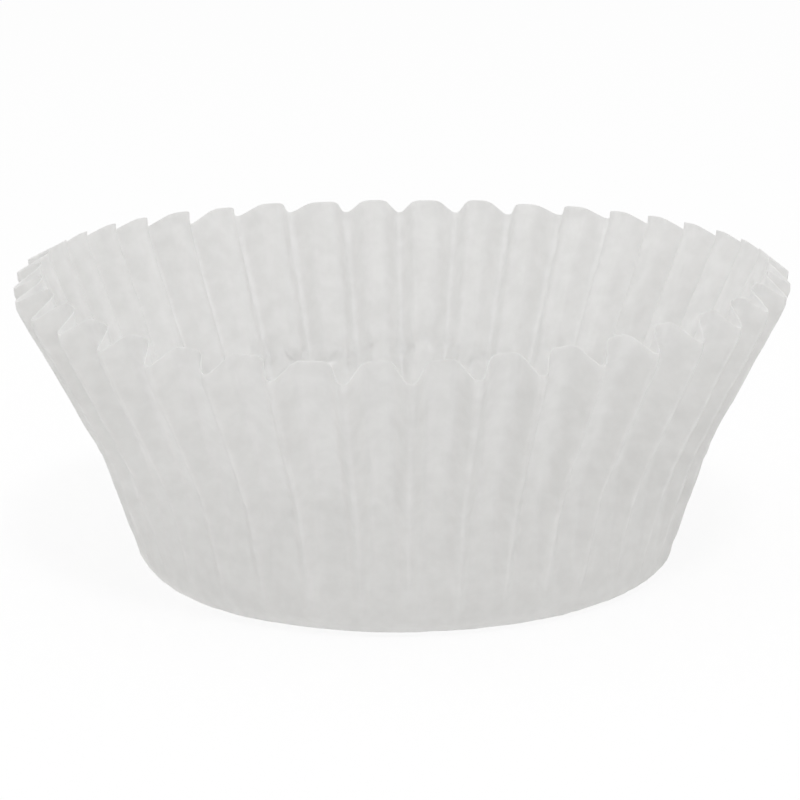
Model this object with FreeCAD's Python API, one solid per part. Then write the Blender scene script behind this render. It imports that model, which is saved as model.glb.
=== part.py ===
"""Fluted paper baking cup, pressed from one round sheet, as a parametric document in millimetres.

The origin is the middle of the underside and +Z points up, out of the cup.
The sheet's middle stays flat as the floor. A small bend at its edge turns it up into the wall,
which is gathered into equal flutes. Each outward fold starts as a point on the bend and widens
to the rim, so the paper only folds and never stretches: the folds and the shoulders beside them are
parts of cones, laid out in narrow flat strips, and the flanks and the valleys are flat. The wall
bends outwards once more at the waist, where stacked cups nest, and the cut edge dips at each
outward fold.
"""

import FreeCAD, Part
import math
import os
from types import SimpleNamespace

DIMENSIONS = [
    ("flute_count", 40, "flutes around the wall"),
    ("paper_thickness", 0.1, "single sheet"),
    ("floor_radius", 25.4, "flat floor, to its corners under the outward folds"),
    ("corner_radius", 2.0, "outside of the bend between floor and wall"),
    ("waist_radius", 31.25, "over the outward folds at the waist"),
    ("waist_height", 12.7, "outward folds at the waist"),
    ("waist_flute_depth", 1.3, "from inward to outward fold at the waist"),
    ("rim_radius", 38.8, "over the outward folds at the rim"),
    ("rim_height", 29.3, "inward folds at the rim"),
    ("rim_flute_depth", 2.7, "from inward to outward fold at the rim"),
    ("rim_dip", 1.5, "how far the cut edge drops at an outward fold"),
    ("valley_width", 1.5, "flat of an inward fold at the rim"),
    ("shoulder_radius", 1.1, "outside of the turn from a valley's flat to a flank at the rim"),
    ("fold_radius", 0.5, "outside of an outward fold at the rim"),
    ("strip_angle", 17, "degrees that the paper turns from one strip of a fold to the next"),
]

ACROSS = FreeCAD.Vector(0, 1, 0)
UP = FreeCAD.Vector(0, 0, 1)


def make_sheet(doc):
    """Puts each driving dimension in a cell of its own, under its name."""
    sheet = doc.addObject("Spreadsheet::Sheet", "Sizes")
    for row, (name, value, meaning) in enumerate(DIMENSIONS, start=1):
        sheet.set(f"A{row}", name)
        sheet.set(f"B{row}", str(value))
        sheet.set(f"C{row}", meaning)
        sheet.setAlias(f"B{row}", name)
    doc.recompute()
    return sheet


def read_sizes(sheet):
    """Reads the driving dimensions back from the sheet's cells."""
    return SimpleNamespace(**{name: getattr(sheet, name) for name, value, meaning in DIMENSIONS})


def in_plane(radius, height, angle=0.0):
    """Point at a radius and a height, in the upright plane at an angle from the first outward fold."""
    return FreeCAD.Vector(radius * math.cos(angle), radius * math.sin(angle), height)


def mirrored(point):
    """The same point on the other side of the first flute's middle plane."""
    return FreeCAD.Vector(point.x, -point.y, point.z)


def turned(shape, angle):
    """Copy of a shape, turned about the cup's axis."""
    copy = shape.copy()
    copy.rotate(FreeCAD.Vector(), UP, math.degrees(angle))
    return copy


def flat_face(*points):
    """Flat panel with straight edges."""
    return Part.Face(Part.makePolygon([*points, points[0]]))


def pairs(points):
    """Each point of a row with the next."""
    return list(zip(points, points[1:]))


def flute_outline(size):
    """Shape of one flute at the rim: an outward fold, two straight flanks, and two shoulders.

    Each shoulder turns a flank into the flat of the valley beside it. The outline is drawn in the
    slanting plane through the outward fold's tip and the near ends of both flats, from that tip.
    """
    half = math.pi / size.flute_count
    tip = in_plane(size.rim_radius, size.rim_height - size.rim_dip)
    valley = in_plane(size.rim_radius - size.rim_flute_depth, size.rim_height, half)
    along_valley = FreeCAD.Vector(-math.sin(half), math.cos(half), 0)
    flat_end = valley - along_valley * (size.valley_width / 2)
    inward = (flat_end + mirrored(flat_end)) * 0.5 - tip
    depth = inward.Length
    outward = inward * (-1 / depth)
    end_angle = math.atan(math.tan(half) * outward.x)
    shoulder_x = size.shoulder_radius * math.cos(end_angle) - depth
    shoulder_y = size.shoulder_radius * math.sin(end_angle) + flat_end.y
    apart = math.hypot(shoulder_x + size.fold_radius, shoulder_y)
    toward = math.atan2(shoulder_y, shoulder_x + size.fold_radius)
    flank_angle = toward - math.acos((size.fold_radius + size.shoulder_radius) / apart)
    return SimpleNamespace(
        outward=outward,
        fold_radius=size.fold_radius,
        shoulder_radius=size.shoulder_radius,
        shoulder_x=shoulder_x,
        shoulder_y=shoulder_y,
        end_angle=end_angle,
        flank_angle=flank_angle,
    )


def spaced(first, last, step):
    """Evenly spaced angles, no further apart than a step."""
    count = math.ceil(abs(last - first) / step)
    return [first + (last - first) * number / count for number in range(count + 1)]


def outline_points(outline, tip, scale, inset, step):
    """Points along the outline at a fold's tip, drawn to a scale and moved inwards by an inset."""
    fold_radius = outline.fold_radius * scale - inset
    shoulder_radius = outline.shoulder_radius * scale + inset

    def on_shoulder(angle, side):
        x = outline.shoulder_x * scale - shoulder_radius * math.cos(angle)
        y = outline.shoulder_y * scale - shoulder_radius * math.sin(angle)
        return tip + outline.outward * x + ACROSS * (side * y)

    def on_fold(angle):
        x = fold_radius * math.cos(angle) - outline.fold_radius * scale
        return tip + outline.outward * x + ACROSS * (fold_radius * math.sin(angle))

    shoulder = spaced(outline.end_angle, outline.flank_angle, step)
    fold = spaced(-outline.flank_angle, outline.flank_angle, step)
    before = [on_shoulder(angle, -1) for angle in shoulder]
    after = [on_shoulder(angle, 1) for angle in reversed(shoulder)]
    return before + [on_fold(angle) for angle in fold] + after


def bend_lean(size, inset, radius, height):
    """Lean from upright at which the bend runs on straight to a point further up the wall."""
    bend_radius = size.corner_radius - inset
    reach = radius - size.floor_radius
    rise = height - size.corner_radius
    return math.acos(bend_radius / math.hypot(reach, rise)) - math.atan2(rise, reach)


def bend_arc(size, inset, lean, angle):
    """Bend from the floor up to the wall, in the upright plane at an angle."""
    bend_radius = size.corner_radius - inset

    def on_bend(below):
        radius = size.floor_radius + bend_radius * math.cos(below)
        return in_plane(radius, size.corner_radius - bend_radius * math.sin(below), angle)

    upright = math.pi / 2
    return Part.Edge(Part.Arc(on_bend(upright), on_bend((upright + lean) / 2), on_bend(lean)))


def flute_skin(size, outline, inset):
    """One flute's share of the outer skin, or of the inner one if the inset is the paper's thickness.

    Returns its faces, its points along the rim, and its corner on the floor.
    """
    pitch = 2 * math.pi / size.flute_count
    step = math.radians(size.strip_angle)
    shrink = size.waist_flute_depth / size.rim_flute_depth
    rim_tip = in_plane(size.rim_radius, size.rim_height - size.rim_dip)
    waist_tip = in_plane(size.waist_radius, size.waist_height)
    rim = outline_points(outline, rim_tip, 1, inset, step)
    waist = outline_points(outline, waist_tip, shrink, inset, step)

    flat_start, rim_flat_start = waist[-1], rim[-1]
    flat_end, rim_flat_end = [turned(Part.Vertex(row[0]), pitch).Point for row in (waist, rim)]
    flat_middle = (flat_start + flat_end) * 0.5
    flat_radius = math.hypot(flat_middle.x, flat_middle.y) / math.cos(pitch / 2)
    lean = bend_lean(size, inset, flat_radius, flat_middle.z)
    bend = bend_arc(size, inset, lean, 0)
    next_bend = bend_arc(size, inset, lean, pitch)
    floor_corner, fold_start = [vertex.Point for vertex in bend.Vertexes]
    next_fold_start = next_bend.Vertexes[-1].Point

    faces = [Part.makeRuledSurface(bend, next_bend)]
    faces.append(flat_face(fold_start, flat_start, flat_end, next_fold_start))
    faces += [flat_face(fold_start, start, end) for start, end in pairs(waist)]
    for (low_start, low_end), (high_start, high_end) in zip(pairs(waist), pairs(rim)):
        faces.append(flat_face(low_start, low_end, high_end, high_start))
    faces.append(flat_face(flat_start, rim_flat_start, rim_flat_end, flat_end))
    return faces, rim, floor_corner


def all_round(shapes, size):
    """Copies of one flute's faces around the whole wall."""
    pitch = 2 * math.pi / size.flute_count
    return [turned(shape, pitch * flute) for flute in range(int(size.flute_count)) for shape in shapes]


def floor_face(size, corner):
    """Flat floor, with a corner under each outward fold."""
    return flat_face(*[vertex.Point for vertex in all_round([Part.Vertex(corner)], size)])


def make_liner(doc, size):
    """Sews the outer skin, the inner skin and the cut edge into one solid sheet."""
    outline = flute_outline(size)
    outer_faces, outer_rim, outer_corner = flute_skin(size, outline, 0)
    inner_faces, inner_rim, inner_corner = flute_skin(size, outline, size.paper_thickness)
    pitch = 2 * math.pi / size.flute_count
    next_outer, next_inner = [turned(Part.Vertex(rim[0]), pitch).Point for rim in (outer_rim, inner_rim)]
    fold_edge = flat_face(*outer_rim, *reversed(inner_rim))
    valley_edge = flat_face(outer_rim[-1], next_outer, next_inner, inner_rim[-1])
    faces = all_round([*outer_faces, *inner_faces, fold_edge, valley_edge], size)
    faces += [floor_face(size, outer_corner), floor_face(size, inner_corner)]
    shell = Part.makeShell(faces)
    shell.sewShape()
    solid = Part.Solid(shell)
    if solid.Volume < 0:
        solid.reverse()
    liner = doc.addObject("Part::Feature", "Liner")
    liner.Label = "liner"
    liner.Shape = solid
    liner.Placement = FreeCAD.Placement()
    return liner


def check(doc):
    """Stops if an object failed or the cup isn't one sound solid."""
    for item in doc.Objects:
        if "Invalid" in item.State or "Error" in item.State:
            raise RuntimeError(f"{item.Label} failed: {item.State}")
    for item in doc.findObjects("Part::Feature"):
        if item.Shape.isNull() or not item.Shape.isValid() or len(item.Shape.Solids) != 1:
            raise RuntimeError(f"{item.Label} isn't one valid solid")


doc = FreeCAD.newDocument("BakingCup")
sheet = make_sheet(doc)
make_liner(doc, read_sizes(sheet))
doc.recompute()
check(doc)
os.makedirs("parts", exist_ok=True)
for part in doc.findObjects("Part::Feature"):
    part.Shape.exportStep(f"parts/{part.Label}.step")
    print(part.Label, round(part.Shape.Volume, 1), "mm3", len(part.Shape.Faces), "faces")
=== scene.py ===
import bmesh
import bpy
import math
import random
from mathutils import Matrix, Vector, noise


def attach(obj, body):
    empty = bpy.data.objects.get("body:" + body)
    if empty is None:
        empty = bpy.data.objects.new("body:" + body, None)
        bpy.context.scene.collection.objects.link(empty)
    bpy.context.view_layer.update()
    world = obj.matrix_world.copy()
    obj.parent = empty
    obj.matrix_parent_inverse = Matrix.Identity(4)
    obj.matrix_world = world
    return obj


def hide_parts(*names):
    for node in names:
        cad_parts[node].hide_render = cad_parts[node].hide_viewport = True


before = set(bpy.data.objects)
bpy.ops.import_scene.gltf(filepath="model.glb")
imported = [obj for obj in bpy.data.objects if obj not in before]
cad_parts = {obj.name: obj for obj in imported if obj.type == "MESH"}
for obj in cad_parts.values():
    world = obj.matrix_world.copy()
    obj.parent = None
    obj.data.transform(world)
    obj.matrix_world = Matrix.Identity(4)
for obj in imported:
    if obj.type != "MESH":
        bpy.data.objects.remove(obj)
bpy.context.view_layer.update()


# The liner is one round sheet of white greaseproof paper, pressed between fluted dies. Its middle
# stays flat as the floor, and the rest is gathered into flutes that open out again at the waist.
# Handling has left the rim uneven, the flutes unequal and the paper cockled. Sizes are in mm.

MM = 0.001

flute_count = 40
paper_thickness = 0.045
base_radius = 27.25
corner_radius = 2.65
waist_radius = 31.0
waist_height = 13.0
waist_flute_depth = 1.3
rim_radius = 38.85
rim_height = 29.7
rim_flute_depth = 2.35
rim_dip = 1.7
wall_lean = 0.014

# Across a flute, the paper leaves a flat valley at a shoulder, runs straight up a flank and turns
# over a narrow outward fold. These are its sizes at the rim, and the waist has them smaller.
fold_radius = 0.6
shoulder_radius = 1.2
fold_reach = 2.4
waist_fold_scale = 0.75

valley_steps = 2
shoulder_steps = 3
flank_steps = 2
fold_steps = 3
half_steps = valley_steps + shoulder_steps + flank_steps + fold_steps
lines_around = flute_count * 2 * half_steps


def half_flute(half_width, depth, scale):
    """Share of the half width, and distance inwards, from an inward fold to the outward fold."""
    reach = fold_reach * scale
    shoulder = shoulder_radius * scale
    tight = fold_radius * scale
    apart = math.hypot(reach, shoulder + tight - depth)
    toward = math.atan2(reach, shoulder + tight - depth)
    flank_angle = toward - math.acos((shoulder + tight) / apart)
    points = []
    for step in range(valley_steps):
        points.append((half_width + (reach - half_width) * step / valley_steps, depth))
    for step in range(shoulder_steps + 1):
        angle = flank_angle * step / shoulder_steps
        inwards = depth - shoulder * (1 - math.cos(angle))
        points.append((reach - shoulder * math.sin(angle), inwards))
    flank_foot = points[-1]
    flank_head = (tight * math.sin(flank_angle), tight * (1 - math.cos(flank_angle)))
    for step in range(1, flank_steps):
        share = step / flank_steps
        points.append(tuple(a + (b - a) * share for a, b in zip(flank_foot, flank_head)))
    for step in range(fold_steps + 1):
        angle = flank_angle * (1 - step / fold_steps)
        points.append((tight * math.sin(angle), tight * (1 - math.cos(angle))))
    return [(sideways / half_width, inwards) for sideways, inwards in points]


# Handling has pushed the folds from their even places, and the rim, bend and base out of true.
# Each is a sum of waves around the cup: how many waves, then the size of their sine and cosine.
fold_drift = [(1, 0.2, -0.09), (2, 0.09, 0.06), (3, -0.04, 0.09)]
rim_sway = [(2, 0.34, -0.47)]
corner_sway = [(1, -0.65, 0)]
base_push = [(1, -0.1, 0.63)]
waist_depth_sway = 0.3
left_rim_lift = 0.9
left_rim_push = 0.6
flute_share_at_bend = 0.6
lean_at_bend = 1.5
hand = random.Random(12)


def waves(turn, kinds):
    """Sum of the waves at an angle from the front, to the right."""
    total = 0.0
    for count, sine, cosine in kinds:
        total += sine * math.sin(count * turn) + cosine * math.cos(count * turn)
    return total


def leftness(turn):
    """One at the left of the cup, and nothing at its front, back and right."""
    return max(0.0, -math.sin(turn))


def rim_lift(turn):
    """How much higher than level the rim stands, for the sheet sits a little askew in its folds."""
    return waves(turn, rim_sway) + left_rim_lift * leftness(turn) ** 4


class Fold:
    """One outward fold, and the inward fold to the right of it, each with its own small faults."""

    def __init__(self, number):
        even = 2 * math.pi * number / flute_count
        drift = 2 * math.pi / flute_count * waves(even, fold_drift)
        self.turn = even + drift + math.radians(hand.uniform(-0.35, 0.35))
        self.out = hand.uniform(-0.18, 0.12)
        self.tip = hand.uniform(-0.25, 0.25)
        self.lean = math.radians(hand.uniform(-0.35, 0.35))
        self.valley_rise = hand.uniform(-0.1, 0.12)
        self.depth = hand.uniform(0.9, 1.08)


folds = [Fold(number) for number in range(flute_count)]


def place(turn, radius, height):
    """Point at an angle from the front, to the right, and at a radius and a height."""
    return Vector((radius * math.sin(turn), -radius * math.cos(turn), height))


def line_up_wall(number, side, step):
    """Angle at the bend, and the places at waist and rim, of one line of the sheet up a flute."""
    fold = folds[number % flute_count]
    other = folds[(number + side) % flute_count]
    half_gap = (other.turn - fold.turn) * side % (2 * math.pi) / 2
    inward = fold if side > 0 else other

    rim_out = rim_radius + fold.out + left_rim_push * leftness(fold.turn) ** 6
    rim_depth = rim_flute_depth * inward.depth + rim_out - rim_radius
    rim_share, rim_in = half_flute(rim_out * half_gap, rim_depth, 1)[step]
    rim_turn = fold.turn + side * half_gap * rim_share
    tip_height = rim_height - rim_dip + fold.tip
    valley_height = rim_height + inward.valley_rise
    rim_level = tip_height + (valley_height - tip_height) * rim_in / rim_depth
    rim = place(rim_turn, rim_out - rim_in, rim_level + rim_lift(rim_turn))

    shrink = waist_flute_depth / rim_flute_depth * (1 + waist_depth_sway * math.sin(fold.turn))
    waist_depth = rim_flute_depth * inward.depth * shrink
    waist_share, waist_in = half_flute(waist_radius * half_gap, waist_depth, waist_fold_scale)[step]
    waist_turn = fold.turn + fold.lean * (1 - waist_share) + side * half_gap * waist_share
    waist_level = waist_height + rim_dip * shrink * waist_in / waist_depth
    waist = place(waist_turn, waist_radius - waist_in, waist_level)

    bend_share = waist_share if step == 0 else flute_share_at_bend * waist_share
    bend_lean = lean_at_bend * fold.lean * (1 - bend_share)
    bend_turn = fold.turn + bend_lean + side * half_gap * bend_share
    return bend_turn, waist, rim


wall_lines = []
for number in range(flute_count):
    for step in range(half_steps + 1):
        wall_lines.append(line_up_wall(number, -1, step))
    for step in range(half_steps - 1, 0, -1):
        wall_lines.append(line_up_wall(number, 1, step))

# From its middle out, the sheet has rings on the floor, as shares of the way to the bend, then
# on the bend, up to the waist, over the waist, and up to the cut rim, which curls in a little.
floor_rings = [0.24, 0.48, 0.68, 0.83, 0.92, 0.975]
bend_rings = 6
lower_rings = 18
waist_rings = 8
upper_rings = 20
ring_count = len(floor_rings) + bend_rings + lower_rings + waist_rings + upper_rings
bend_start = math.radians(90)
bend_end = math.radians(20)
waist_share_below = 0.12
waist_share_above = 0.08
lip_height = 1.5
lip_curl = 0.38


def corner(turn, below):
    """Point on the bend between floor and wall, from 90 degrees below level at the floor."""
    radius = corner_radius + waves(turn, corner_sway)
    reach = base_radius + waves(turn, base_push) - radius * (1 - math.cos(below))
    return place(turn, reach, radius * (1 - math.sin(below)))


def bezier(start, middle, end, share):
    """Point on the even curve that leaves the first run and joins the next."""
    return start.lerp(middle, share).lerp(middle.lerp(end, share), share)


def pressed(ring, line):
    """Where a point of the flat sheet ends up: ring from the middle out, line around."""
    bend_turn, waist, rim = wall_lines[line % lines_around]
    if ring < len(floor_rings):
        return corner(bend_turn, bend_start) * floor_rings[ring]
    ring -= len(floor_rings)
    if ring < bend_rings:
        return corner(bend_turn, bend_start + (bend_end - bend_start) * ring / (bend_rings - 1))
    ring -= bend_rings
    foot = corner(bend_turn, bend_end)
    below = waist.lerp(foot, waist_share_below)
    above = waist.lerp(rim, waist_share_above)
    if ring < lower_rings:
        return foot.lerp(below, (ring + 1) / lower_rings)
    ring -= lower_rings
    if ring < waist_rings:
        return bezier(below, waist, above, (ring + 1) / waist_rings)
    ring -= waist_rings
    point = above.lerp(rim, (ring + 1) / upper_rings)
    into_lip = max(0.0, 1 - (rim - point).length / lip_height)
    outward = Vector((point.x, point.y, 0)).normalized()
    return point - outward * lip_curl * into_lip**2


# The flat sheet has its rings one unit apart, so that a point's radius says which ring it is on.
sheet = bmesh.new()
bmesh.ops.create_circle(sheet, cap_ends=True, cap_tris=True, segments=lines_around, radius=1.0)
cut_edge = [edge for edge in sheet.edges if edge.is_boundary]
for ring in range(1, ring_count):
    grown = bmesh.ops.extrude_edge_only(sheet, edges=cut_edge)["geom"]
    wider = (ring + 1) / ring
    verts = [item for item in grown if isinstance(item, bmesh.types.BMVert)]
    bmesh.ops.scale(sheet, vec=Vector((wider, wider, 1)), verts=verts)
    edges = [item for item in grown if isinstance(item, bmesh.types.BMEdge)]
    cut_edge = [edge for edge in edges if edge.is_boundary]

for vert in sheet.verts:
    flat = vert.co.copy()
    ring = round(flat.length) - 1
    if ring >= 0:
        line = round(math.atan2(flat.x, -flat.y) / (2 * math.pi) * lines_around)
        point = pressed(ring, line)
        vert.co = (point + Vector((wall_lean * point.z, 0, 0))) * MM

# Where stacked cups have nested, at the waist, most folds have a small dimple.
dimple_share = 0.75
dimple_fade = 2.5
dimples = []
for fold in folds:
    if hand.random() < dimple_share:
        turn = fold.turn + math.radians(hand.uniform(-2, 2))
        middle = place(turn, waist_radius - 0.5, waist_height + hand.uniform(-0.6, 1.2))
        dimples.append((middle, hand.uniform(0.5, 0.9), hand.uniform(0.1, 0.25)))

# Short straight creases cross the waist too, and the sharpest are pressed into the far side.
crease_count = 26
far_creases = 18
crease_width = 0.9
creases = []
for number in range(crease_count):
    far = number < far_creases
    turn = math.pi + hand.gauss(0, 0.75) if far else hand.uniform(-1.3, 1.3)
    middle = place(turn, waist_radius - 0.8, waist_height + hand.gauss(0.3, 1.2))
    level = Vector((math.cos(turn), math.sin(turn), 0))
    along = level * hand.uniform(-1, 1) + Vector((0, 0, hand.uniform(0.2, 1)))
    height = hand.uniform(0.2, 0.36) if far else hand.uniform(0.08, 0.16)
    creases.append((middle, along.normalized(), hand.uniform(0.8, 2.0), height))

# The paper is crumpled near the waist, and its wall is dented and cockled all over.
crumple_band = 2.4
crumple_width = 2.6
crumple_sharpness = 3.5
crumple_far = 1.2
crumple_near = 0.3
patch_width = 6.0
patch_spread = 0.2
wide_dent, wide_dent_width = 0.11, 7.0
small_dent, small_dent_width = 0.06, 3.0
cockle_below, cockle_above, cockle_width = 0.1, 0.06, 1.6
stiff_floor = 24.3
floor_to_wall = 3.0
marked_band = 5.0


def ripple(here, width, start):
    """Smooth random height between minus one and one, in bumps of a width."""
    return noise.noise(here / width + Vector(start))


def crumple(here):
    """Height of the sharp ridges near the waist, most of them on the far side."""
    near_waist = math.exp(-(((here.z - waist_height) / crumple_band) ** 2))
    ridge = max(0.0, 1 - crumple_sharpness * abs(ripple(here, crumple_width, (1, 7, 3))))
    patch = max(0.0, ripple(here, patch_width, (5, 2, 8)) + patch_spread)
    return near_waist * ridge * patch * (crumple_far if here.y > 0 else crumple_near)


def cockle(here):
    """Height of the dents and cockles of pressed paper, which is flatter above the waist."""
    dent = wide_dent * ripple(here, wide_dent_width, (0, 0, 0))
    dent += small_dent * ripple(here, small_dent_width, (9, 4, 2))
    size = cockle_above if here.z > waist_height else cockle_below
    return dent + size * ripple(here, cockle_width, (3, 8, 5))


def waist_marks(here):
    """Height of the dimples and the straight creases."""
    total = 0.0
    for middle, width, depth in dimples:
        away = (here - middle).length / width
        if away < dimple_fade:
            total -= depth * math.exp(-away * away)
    for middle, along, length, height in creases:
        run = (here - middle).dot(along)
        away = (here - middle - along * run).length
        if abs(run) < length and away < crease_width:
            total += height * (1 - away / crease_width) * (1 - (run / length) ** 2)
    return total


bmesh.ops.recalc_face_normals(sheet, faces=sheet.faces)
sheet.normal_update()
moves = []
for vert in sheet.verts:
    here = vert.co / MM
    free = (math.hypot(here.x, here.y) - stiff_floor) / floor_to_wall
    move = (cockle(here) + crumple(here)) * min(1.0, max(0.0, free))
    if abs(here.z - waist_height) < marked_band:
        move += waist_marks(here)
    moves.append((vert, vert.normal * move * MM))
for vert, move in moves:
    vert.co += move
    vert.co.z = max(vert.co.z, 0)

# The sheet gets its thickness, and only its cut edge stays sharp.
cut_edge_turn = math.radians(65)
bmesh.ops.solidify(sheet, geom=list(sheet.faces), thickness=paper_thickness * MM)
bmesh.ops.recalc_face_normals(sheet, faces=sheet.faces)
for face in sheet.faces:
    face.smooth = True
for edge in sheet.edges:
    if len(edge.link_faces) == 2 and edge.calc_face_angle() > cut_edge_turn:
        edge.smooth = False

liner_mesh = bpy.data.meshes.new("paper_liner")
sheet.to_mesh(liner_mesh)
sheet.free()
liner = bpy.data.objects.new("paper_liner", liner_mesh)
bpy.context.scene.collection.objects.link(liner)
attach(liner, "root")
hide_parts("liner")


def empty_tree(owner):
    """Nodes and links of a material or of the world, with nothing in them yet."""
    owner.use_nodes = True
    owner.node_tree.nodes.clear()
    return owner.node_tree.nodes, owner.node_tree.links


# Greaseproof paper is pressed smooth, so it has a soft sheen, and most light passes through it.
light_let_through = 0.86
cloud_per_metre = 650
fibres_per_metre = 2600
thick_spot = (0.89, 0.888, 0.882, 1)
thin_spot = (0.925, 0.923, 0.918, 1)

paper = bpy.data.materials.new("greaseproof_paper")
nodes, links = empty_tree(paper)
output = nodes.new("ShaderNodeOutputMaterial")
where = nodes.new("ShaderNodeTexCoord")
surface = nodes.new("ShaderNodeBsdfPrincipled")
surface.inputs["Roughness"].default_value = 0.3
surface.inputs["Specular IOR Level"].default_value = 1.0
surface.inputs["Coat Weight"].default_value = 0.6
surface.inputs["Coat Roughness"].default_value = 0.2
through = nodes.new("ShaderNodeBsdfTranslucent")
mix = nodes.new("ShaderNodeMixShader")
mix.inputs["Fac"].default_value = light_let_through
links.new(surface.outputs["BSDF"], mix.inputs[1])
links.new(through.outputs["BSDF"], mix.inputs[2])
links.new(mix.outputs["Shader"], output.inputs["Surface"])

# Its pulp lies a little thicker in some spots than in others, which shows as soft clouds.
cloud = nodes.new("ShaderNodeTexNoise")
cloud.inputs["Scale"].default_value = cloud_per_metre
cloud.inputs["Detail"].default_value = 5
cloud.inputs["Roughness"].default_value = 0.6
tone = nodes.new("ShaderNodeValToRGB")
thick, thin = tone.color_ramp.elements
thick.position, thick.color = 0.36, thick_spot
thin.position, thin.color = 0.64, thin_spot
links.new(where.outputs["Object"], cloud.inputs["Vector"])
links.new(cloud.outputs["Fac"], tone.inputs["Fac"])
links.new(tone.outputs["Color"], surface.inputs["Base Color"])
links.new(tone.outputs["Color"], through.inputs["Color"])

# Its fibres stand out from the surface by a few hundredths of a millimetre.
fibre = nodes.new("ShaderNodeTexNoise")
fibre.inputs["Scale"].default_value = fibres_per_metre
fibre.inputs["Detail"].default_value = 6
fibre.inputs["Roughness"].default_value = 0.65
bump = nodes.new("ShaderNodeBump")
bump.inputs["Strength"].default_value = 0.25
bump.inputs["Distance"].default_value = 0.03 * MM
links.new(where.outputs["Object"], fibre.inputs["Vector"])
links.new(fibre.outputs["Fac"], bump.inputs["Height"])
links.new(bump.outputs["Normal"], surface.inputs["Normal"])
links.new(bump.outputs["Normal"], through.inputs["Normal"])
liner_mesh.materials.append(paper)


# The table is a plain white surface that runs on far behind the cup and holds its soft shadow.
# It lies a tenth of a millimetre under the paper, so that the two never share a plane, and it is
# clear from below, so that the cup's underside can be seen.

table_reach = 3.0
table_drop = 0.1
table_white = (0.82, 0.82, 0.82, 1)
white_seen = 0.88

top = bmesh.new()
bmesh.ops.create_grid(top, x_segments=1, y_segments=1, size=table_reach)
floor_mesh = bpy.data.meshes.new("table_top")
top.to_mesh(floor_mesh)
top.free()
floor = bpy.data.objects.new("table_top", floor_mesh)
floor.location.z = -table_drop * MM
bpy.context.scene.collection.objects.link(floor)

# To the camera it is mostly plain white, and the rest is how it is lit, which holds the shadow.
white = bpy.data.materials.new("white_table")
nodes, links = empty_tree(white)
output = nodes.new("ShaderNodeOutputMaterial")
matt = nodes.new("ShaderNodeBsdfDiffuse")
matt.inputs["Color"].default_value = table_white
glow = nodes.new("ShaderNodeEmission")
path = nodes.new("ShaderNodeLightPath")
seen = nodes.new("ShaderNodeMath")
seen.operation = "MULTIPLY"
seen.inputs[1].default_value = white_seen
upper_side = nodes.new("ShaderNodeMixShader")
links.new(path.outputs["Is Camera Ray"], seen.inputs[0])
links.new(seen.outputs["Value"], upper_side.inputs["Fac"])
links.new(matt.outputs["BSDF"], upper_side.inputs[1])
links.new(glow.outputs["Emission"], upper_side.inputs[2])
facing = nodes.new("ShaderNodeNewGeometry")
clear = nodes.new("ShaderNodeBsdfTransparent")
one_sided = nodes.new("ShaderNodeMixShader")
links.new(facing.outputs["Backfacing"], one_sided.inputs["Fac"])
links.new(upper_side.outputs["Shader"], one_sided.inputs[1])
links.new(clear.outputs["BSDF"], one_sided.inputs[2])
links.new(one_sided.outputs["Shader"], output.inputs["Surface"])
floor_mesh.materials.append(white)


# Soft light comes from all round, off a white room that is also the backdrop. A wide panel hangs
# over the cup, a smaller one stands at its left, and a small bright window high in front gives the
# folds their edges. Sizes here are in metres, and powers in watts.

world = bpy.data.worlds.new("soft_room")
bpy.context.scene.world = world
nodes, links = empty_tree(world)
output = nodes.new("ShaderNodeOutputWorld")
room = nodes.new("ShaderNodeBackground")
room.inputs["Color"].default_value = (1, 1, 1, 1)
room.inputs["Strength"].default_value = 0.85
backdrop = nodes.new("ShaderNodeBackground")
backdrop.inputs["Color"].default_value = (1, 1, 1, 1)
path = nodes.new("ShaderNodeLightPath")
mix = nodes.new("ShaderNodeMixShader")
links.new(path.outputs["Is Camera Ray"], mix.inputs["Fac"])
links.new(room.outputs["Background"], mix.inputs[1])
links.new(backdrop.outputs["Background"], mix.inputs[2])
links.new(mix.outputs["Shader"], output.inputs["Surface"])

lit_spot = Vector((0, 0, 10 * MM))
for name, stand, width, power in (
    ("ceiling_panel", (-0.12, -0.05, 0.85), 0.9, 0.75),
    ("left_panel", (-0.75, -0.45, 0.35), 0.5, 0.3),
    ("window", (0.1, -0.45, 0.8), 0.16, 2.75),
):
    lamp_data = bpy.data.lights.new(name, "AREA")
    lamp_data.size = width
    lamp_data.energy = power
    lamp = bpy.data.objects.new(name, lamp_data)
    lamp.location = stand
    lamp.rotation_euler = (lit_spot - lamp.location).to_track_quat("-Z", "Y").to_euler()
    bpy.context.scene.collection.objects.link(lamp)


# The camera stands in front of the cup and looks down on it at 15 degrees, through a long lens. It
# is held one degree off level, and a small shift sets the cup in its place in the frame.

aim = Vector((0, 0, 13.87 * MM))
distance = 341.68 * MM
rise = math.radians(15.175)
roll = math.radians(-1.0)

camera_data = bpy.data.cameras.new("camera")
camera_data.sensor_width = 36
camera_data.lens = 152.16
camera_data.shift_x = -0.0044
camera_data.shift_y = 0.0257
camera_data.clip_start = 0.01
camera_data.clip_end = 20
camera = bpy.data.objects.new("camera", camera_data)
stand = aim + Vector((0, -distance * math.cos(rise), distance * math.sin(rise)))
looking = Matrix.Rotation(math.pi / 2 - rise, 4, "X") @ Matrix.Rotation(roll, 4, "Z")
camera.matrix_world = Matrix.Translation(stand) @ looking
bpy.context.scene.collection.objects.link(camera)
bpy.context.scene.camera = camera
bpy.context.scene.view_settings.view_transform = "Standard"
